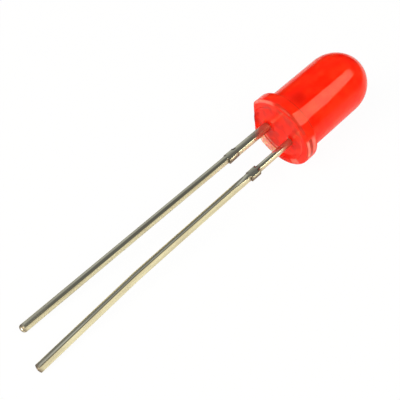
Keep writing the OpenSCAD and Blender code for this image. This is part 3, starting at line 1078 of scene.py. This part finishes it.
def soft_light(name, light, studio, middle):
    """A flat soft light: its power is the brightness of its face times pi times its area."""
    lamp = bpy.data.lights.new(name, "AREA")
    lamp.shape = "RECTANGLE"
    lamp.size = 2 * studio.light_distance * math.tan(light.width / 2)
    lamp.size_y = 2 * studio.light_distance * math.tan(light.height / 2)
    lamp.energy = light.level * math.pi * lamp.size * lamp.size_y
    lamp.color = studio.lamp_tint
    towards = from_above(light.azimuth, light.elevation)
    place = middle + towards * studio.light_distance
    put_in_scene(name, lamp).matrix_world = looking(place, -towards, light.roll)


def white_table(studio):
    """Paper table. The camera sees it almost plain white, with a trace of the part's shadow. The
    part mirrors the lit paper with a small share of white."""
    material, tree, shader = new_material("white_table")
    path = add(tree, "ShaderNodeLightPath").outputs
    mirrored = math_node(tree, "MAXIMUM", path["Is Glossy Ray"], path["Is Transmission Ray"])
    mirrored = times(tree, mirrored, studio.mirror_glow)
    seen = times(tree, path["Is Camera Ray"], studio.floor_glow)
    fibre = noise(tree, add(tree, "ShaderNodeTexCoord").outputs["Object"], PAPER_FIBRE)
    looks = {
        "Base Color": opaque(studio.floor_white),
        "Roughness": ranged(tree, fibre, *CLOUDY, *PAPER_ROUGHNESS),
        "Specular IOR Level": 0.0,
    }
    feed_all(tree, shader, looks)
    glow = add(tree, "ShaderNodeEmission", None, {"Color": WHITE, "Strength": 1.0})
    share = math_node(tree, "MAXIMUM", seen, mirrored)
    output = next(node for node in tree.nodes if node.type == "OUTPUT_MATERIAL")
    show_blend(tree, output, share, shader, glow)
    return material


def studio_walls(studio):
    """World that is white to the camera. The part sees a dark ceiling and pale walls, dimmer left
    and right, warmer in front, and at their foot brighter in front and darker behind."""
    world = bpy.data.worlds.new("studio_walls")
    world.use_nodes = True
    tree = world.node_tree
    tree.nodes.clear()
    direction = add(tree, "ShaderNodeTexCoord").outputs["Generated"]
    split = add(tree, "ShaderNodeSeparateXYZ", None, {0: direction}).outputs
    fade, top = math.sin(studio.wall_fade), math.sin(studio.wall_top)
    brightness = ranged(tree, split["Z"], fade, top, studio.wall_level, studio.ceiling_level)
    dim_left = ranged(tree, split["X"], *LEFT_WALL, 1 - studio.left_dimming, 1.0)
    dim_right = ranged(tree, split["X"], *RIGHT_WALL, 1.0, 1 - studio.right_dimming)
    foot = ranged(tree, split["Z"], *WALL_FOOT, *FALLING)
    front = ranged(tree, split["Y"], *FRONT_WALL, *FALLING)
    farther = ranged(tree, split["Y"], *BACK_WALL, 0.0, -studio.back_dimming)
    change = times(tree, foot, scaled(tree, front, studio.front_lift, farther))
    lifted = math_node(tree, "ADD", change, 1.0)
    strength = times(tree, brightness, dim_left, dim_right, lifted)
    tint = mixed(tree, front, opaque(studio.wall_tint), opaque(studio.lamp_tint))
    walls = add(tree, "ShaderNodeBackground", None, {"Color": tint, "Strength": strength})
    white = add(tree, "ShaderNodeBackground", None, {"Color": WHITE, "Strength": 1.0})
    seen = add(tree, "ShaderNodeLightPath").outputs["Is Camera Ray"]
    show_blend(tree, add(tree, "ShaderNodeOutputWorld"), seen, walls, white)
    bpy.context.scene.world = world


class LED_OT_set_stage(bpy.types.Operator):
    """Set the white table, the soft lights and the camera"""

    bl_idname = "led.set_stage"
    bl_label = "Set the stage"

    def execute(self, context):
        scene = context.scene
        studio = scene.led_studio
        half = studio.floor_width / 2
        corners = [(-half, -half, 0), (half, -half, 0), (half, half, 0), (-half, half, 0)]
        mesh = bpy.data.meshes.new("table")
        mesh.from_pydata(corners, [], [(0, 1, 2, 3)])
        mesh.materials.append(white_table(studio))
        table = put_in_scene("table", mesh)
        studio_walls(studio)
        middle = Vector(placed(np.array([0, 0, scene.led_lens.height / 2])))
        for name in LIGHTS:
            soft_light(name, getattr(scene, f"led_{name}"), studio, middle)
        camera = bpy.data.cameras.new("camera")
        camera.sensor_fit = "HORIZONTAL"
        camera.angle = studio.field_of_view
        camera.clip_start = NEAREST_SIGHT
        towards = from_above(studio.camera_azimuth, studio.camera_elevation)
        aim = Vector((studio.camera_aim_x, studio.camera_aim_y, 0))
        place = aim + towards * studio.camera_distance
        scene.camera = put_in_scene("camera", camera)
        scene.camera.matrix_world = looking(place, -towards, studio.camera_roll)
        scene.view_settings.view_transform = "Standard"
        return {"FINISHED"}


class LED_PT_parts(bpy.types.Panel):
    """Steps that build the LED"""

    bl_idname = "LED_PT_parts"
    bl_label = "Round Red LED"
    bl_space_type = "VIEW_3D"
    bl_region_type = "UI"
    bl_category = "LED"

    def draw(self, context):
        for operator in OPERATORS:
            self.layout.operator(operator.bl_idname)
        for holder in GROUPS:
            box = self.layout.box()
            settings = getattr(context.scene, holder)
            for name in settings.__annotations__:
                box.prop(settings, name)


OPERATORS = (LED_OT_cast_lens, LED_OT_form_leads, LED_OT_finish_chip, LED_OT_set_stage)
GROUPS = {
    "led_lens": LensSizes,
    "led_leads": LeadSizes,
    "led_heads": HeadSizes,
    "led_finishes": Finishes,
    "led_studio": StudioSettings,
    "led_key_light": KeyLight,
    "led_side_light": SideLight,
    "led_front_light": FrontLight,
}


def register():
    """Makes the settings, the operators and the panel known to Blender."""
    for holder, group in GROUPS.items():
        bpy.utils.register_class(group)
        setattr(bpy.types.Scene, holder, PointerProperty(type=group))
    for made in (*OPERATORS, LED_PT_parts):
        bpy.utils.register_class(made)


def unregister():
    """Takes them away again."""
    for made in (LED_PT_parts, *reversed(OPERATORS)):
        bpy.utils.unregister_class(made)
    for holder, group in reversed(GROUPS.items()):
        delattr(bpy.types.Scene, holder)
        bpy.utils.unregister_class(group)


def main():
    """Builds the part and its stage."""
    register()
    bpy.ops.led.cast_lens()
    bpy.ops.led.form_leads()
    bpy.ops.led.finish_chip()
    bpy.ops.led.set_stage()


if __name__ == "__main__":
    main()
